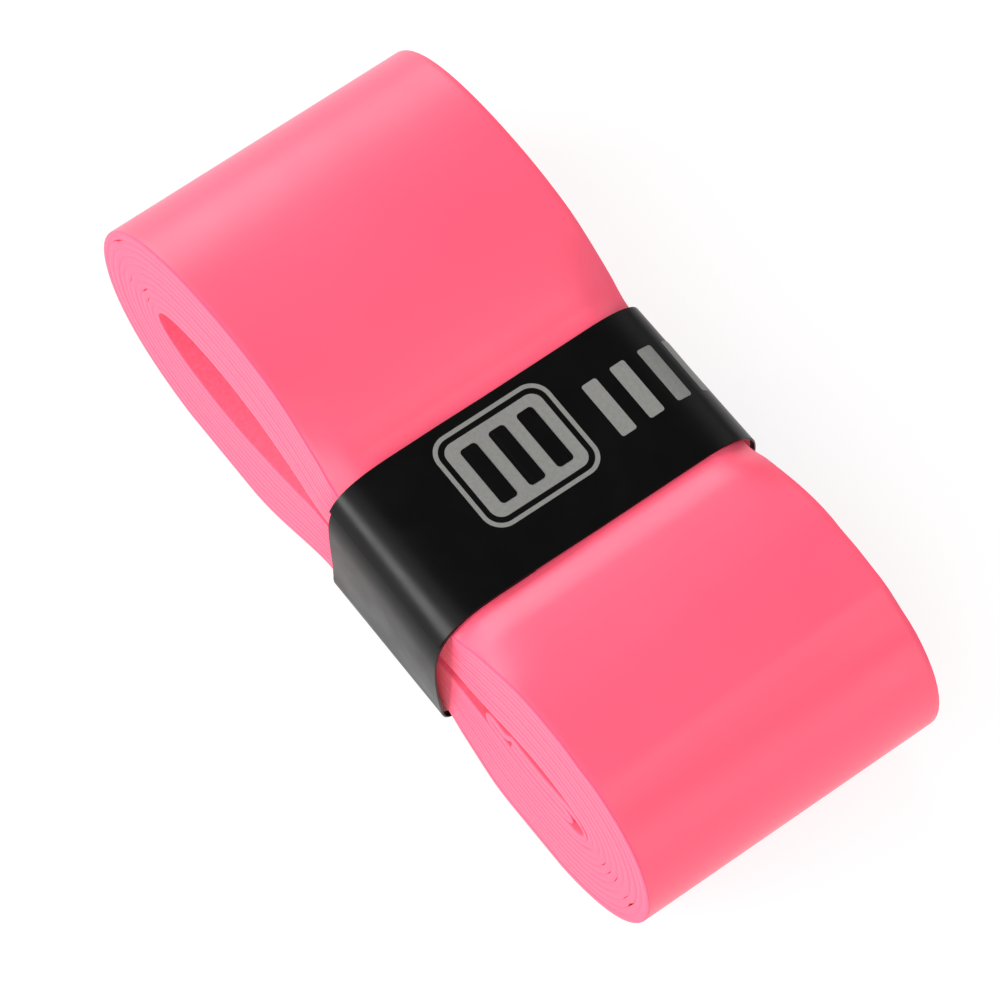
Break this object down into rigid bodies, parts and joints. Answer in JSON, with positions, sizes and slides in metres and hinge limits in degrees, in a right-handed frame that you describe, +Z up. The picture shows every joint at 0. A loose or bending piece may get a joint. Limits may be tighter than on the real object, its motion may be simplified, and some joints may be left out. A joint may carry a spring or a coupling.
{
  "type": "grip tape roll",
  "caption": "Racket grip tape wound flat into a two-lobed bundle round an open core, coat outwards, held at its waist by a slim printed band that slides off lengthwise.",
  "frame": {"origin": "middle of the whole outline seen from above, on the surface that the bundle lies on", "axes": "+X along the bundle, towards the lobe that holds the tape's folded start; +Y across the tape's width; +Z up"},
  "size_m": [0.0614, 0.0276, 0.0175],
  "materials": {
    "tape_coat": "smooth tacky polyurethane, satin",
    "tape_backing": "dyed felt, matte",
    "start_tab": "double-sided adhesive tissue",
    "release_paper": "smooth release paper",
    "band_film": "semi-gloss black film",
    "band_print": "flat grey ink"
  },
  "bodies": {
    "bundle": {"tape_coat": "tape_coat", "tape_backing": "tape_backing", "start_tab": "start_tab", "start_tab_paper": "release_paper"},
    "band": {"band_film": "band_film", "band_paper": "release_paper"}
  },
  "joints": [
    {"name": "band_slide", "type": "slide", "parent": "bundle", "child": "band", "axis": [1, 0, 0], "range_m": [-0.0405, 0.0355], "deforming": ["tape_coat", "tape_backing"]}
  ]
}
